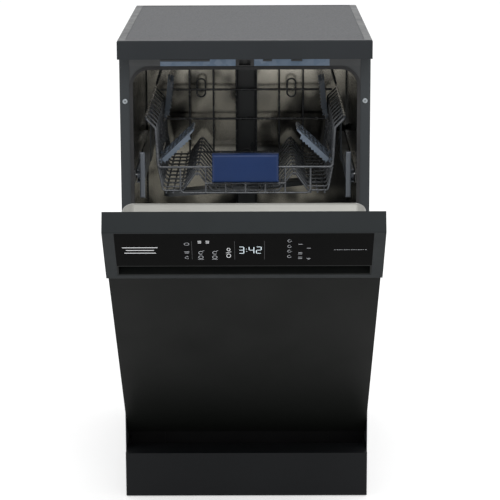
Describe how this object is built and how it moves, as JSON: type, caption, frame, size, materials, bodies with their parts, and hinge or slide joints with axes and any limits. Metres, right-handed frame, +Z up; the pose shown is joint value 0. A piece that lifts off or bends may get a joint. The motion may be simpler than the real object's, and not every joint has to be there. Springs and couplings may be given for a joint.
{
  "type": "freestanding slimline dishwasher",
  "caption": "Slimline floor-standing dishwasher with a worktop, bottom-hinged front door with control strip, steel tub, sliding wire baskets and rotating spray arms.",
  "frame": {"origin": "on the floor, in the middle of the worktop's footprint, between the four feet", "axes": "+Z up, -Y towards the user in front, +X to the user's right"},
  "size_m": [0.448, 1.0266, 0.845],
  "materials": {
    "worktop_laminate": "fine-grained laminate",
    "worktop_rim": "moulded black plastic",
    "black_enamel": "satin black paint",
    "black_plastic": "moulded black plastic",
    "black_gloss": "glossy black",
    "galvanised": "zinc coated",
    "stainless": "brushed stainless",
    "stainless_bright": "bright screw heads",
    "black_rubber": "matte rubber",
    "grey_plastic": "light grey plastic",
    "dark_grey_plastic": "dark grey plastic",
    "blue_grey_plastic": "blue-grey plastic",
    "handle_blue": "deep blue plastic",
    "coated_wire": "grey nylon-coated steel wire",
    "spring_steel": "plain steel",
    "circuit_green": "circuit board carrier"
  },
  "bodies": {
    "cabinet": {"worktop_board": "worktop_laminate", "worktop_frame": "worktop_rim", "side_panel_left": "black_enamel", "side_panel_right": "black_enamel", "rear_panel": "galvanised", "top_crossbar": "galvanised", "latch_housing": "black_plastic", "flange_screws": "stainless_bright", "base_tray": "dark_grey_plastic", "levelling_feet": "dark_grey_plastic", "kick_plate": "black_enamel", "tub": "stainless", "tub_gasket": "black_rubber", "hinge_bracket_left": "spring_steel", "hinge_bracket_right": "spring_steel", "balance_springs": "spring_steel", "sump": "dark_grey_plastic", "fine_filter": "stainless", "water_softener": "grey_plastic", "circulation_pump": "dark_grey_plastic", "drain_pump": "dark_grey_plastic", "air_break_chamber": "grey_plastic", "inlet_valve": "grey_plastic", "drain_outlet": "dark_grey_plastic", "mains_gland": "black_rubber", "water_duct": "dark_grey_plastic", "upper_rail_left": "stainless", "upper_rail_right": "stainless"},
    "door": {"console": "black_plastic", "control_window": "black_gloss", "grip_recess": "black_plastic", "control_board": "circuit_green", "door_outer_panel": "black_enamel", "door_liner": "stainless", "detergent_dispenser": "grey_plastic", "latch_bolt": "spring_steel", "door_bottom_seal": "black_rubber", "hinge_arm_left": "spring_steel", "hinge_arm_right": "spring_steel"},
    "dispenser_lid": {"detergent_lid": "grey_plastic"},
    "rinse_cap": {"rinse_aid_cap": "blue_grey_plastic"},
    "upper_rack": {"upper_basket": "coated_wire", "upper_basket_handle": "handle_blue", "upper_slide_left": "blue_grey_plastic", "upper_slide_right": "blue_grey_plastic", "upper_arm_feed": "dark_grey_plastic"},
    "upper_arm": {"upper_spray_arm": "dark_grey_plastic"},
    "shelf_front_left": {"cup_shelf_front_left": "blue_grey_plastic"},
    "shelf_front_right": {"cup_shelf_front_right": "blue_grey_plastic"},
    "shelf_rear_left": {"cup_shelf_rear_left": "blue_grey_plastic"},
    "shelf_rear_right": {"cup_shelf_rear_right": "blue_grey_plastic"},
    "lower_rack": {"lower_basket": "coated_wire", "lower_basket_handle": "handle_blue"},
    "wheels_front": {"lower_wheels_front": "grey_plastic"},
    "wheels_rear": {"lower_wheels_rear": "grey_plastic"},
    "rollers_front": {"rail_rollers_front": "grey_plastic"},
    "rollers_rear": {"rail_rollers_rear": "grey_plastic"},
    "lower_arm": {"lower_spray_arm": "dark_grey_plastic"},
    "filter": {"coarse_filter": "grey_plastic"},
    "salt_lid": {"salt_cap": "grey_plastic"}
  },
  "joints": [
    {"name": "door_hinge", "type": "hinge", "parent": "cabinet", "child": "door", "pos_m": [0, -0.2734, 0.18], "axis": [1, 0, 0], "range_deg": [-45.8, 44.2], "deforming": ["balance_springs"]},
    {"name": "upper_basket_slide", "type": "slide", "parent": "cabinet", "child": "upper_rack", "axis": [0, -1, 0], "range_m": [0, 0.34]},
    {"name": "lower_basket_slide", "type": "slide", "parent": "cabinet", "child": "lower_rack", "axis": [0, -1, 0], "range_m": [0, 0.05]},
    {"name": "dispenser_lid_slide", "type": "slide", "parent": "door", "child": "dispenser_lid", "axis": [0, 0.7169, -0.6972], "range_m": [0, 0.0415]},
    {"name": "rinse_cap_turn", "type": "hinge", "parent": "door", "child": "rinse_cap", "pos_m": [0.048, -0.47508, 0.41727], "axis": [0, 0.6972, 0.7169], "range_deg": [0, 90]},
    {"name": "upper_arm_spin", "type": "hinge", "parent": "upper_rack", "child": "upper_arm", "pos_m": [0, -0.012, 0.53], "axis": [0, 0, 1], "continuous": true},
    {"name": "lower_arm_spin", "type": "hinge", "parent": "cabinet", "child": "lower_arm", "pos_m": [0, -0.012, 0.219], "axis": [0, 0, 1], "continuous": true},
    {"name": "shelf_front_left_fold", "type": "hinge", "parent": "upper_rack", "child": "shelf_front_left", "pos_m": [-0.15534, -0.159, 0.614], "axis": [0, -1, 0], "range_deg": [-43, 44]},
    {"name": "shelf_front_right_fold", "type": "hinge", "parent": "upper_rack", "child": "shelf_front_right", "pos_m": [0.15534, -0.159, 0.614], "axis": [0, 1, 0], "range_deg": [-43, 44]},
    {"name": "shelf_rear_left_fold", "type": "hinge", "parent": "upper_rack", "child": "shelf_rear_left", "pos_m": [-0.15746, 0.11, 0.652], "axis": [0, -1, 0], "range_deg": [-84, 3]},
    {"name": "shelf_rear_right_fold", "type": "hinge", "parent": "upper_rack", "child": "shelf_rear_right", "pos_m": [0.15746, 0.11, 0.652], "axis": [0, 1, 0], "range_deg": [-84, 3]},
    {"name": "wheels_front_turn", "type": "hinge", "parent": "lower_rack", "child": "wheels_front", "pos_m": [0, -0.196, 0.2255], "axis": [1, 0, 0], "range_deg": [0, 180]},
    {"name": "wheels_rear_turn", "type": "hinge", "parent": "lower_rack", "child": "wheels_rear", "pos_m": [0, 0.168, 0.2255], "axis": [1, 0, 0], "range_deg": [0, 180]},
    {"name": "rollers_front_turn", "type": "hinge", "parent": "cabinet", "child": "rollers_front", "pos_m": [0, -0.214, 0.5913], "axis": [1, 0, 0], "range_deg": [0, 2010]},
    {"name": "rollers_rear_turn", "type": "hinge", "parent": "cabinet", "child": "rollers_rear", "pos_m": [0, -0.15, 0.5913], "axis": [1, 0, 0], "range_deg": [0, 2010]},
    {"name": "filter_twist", "type": "hinge", "parent": "cabinet", "child": "filter", "pos_m": [0.046, 0.034, 0.193], "axis": [0, 0, 1], "range_deg": [0, 90]},
    {"name": "salt_cap_turn", "type": "hinge", "parent": "cabinet", "child": "salt_lid", "pos_m": [-0.118, 0.12, 0.196], "axis": [0, 0, 1], "range_deg": [0, 360]}
  ],
  "couplings": [
    {"joint": "rollers_front_turn", "follows": "upper_basket_slide", "rad_per_m": 103.09},
    {"joint": "rollers_rear_turn", "follows": "upper_basket_slide", "rad_per_m": 103.09},
    {"joint": "wheels_front_turn", "follows": "lower_basket_slide", "rad_per_m": 62.5},
    {"joint": "wheels_rear_turn", "follows": "lower_basket_slide", "rad_per_m": 62.5}
  ]
}
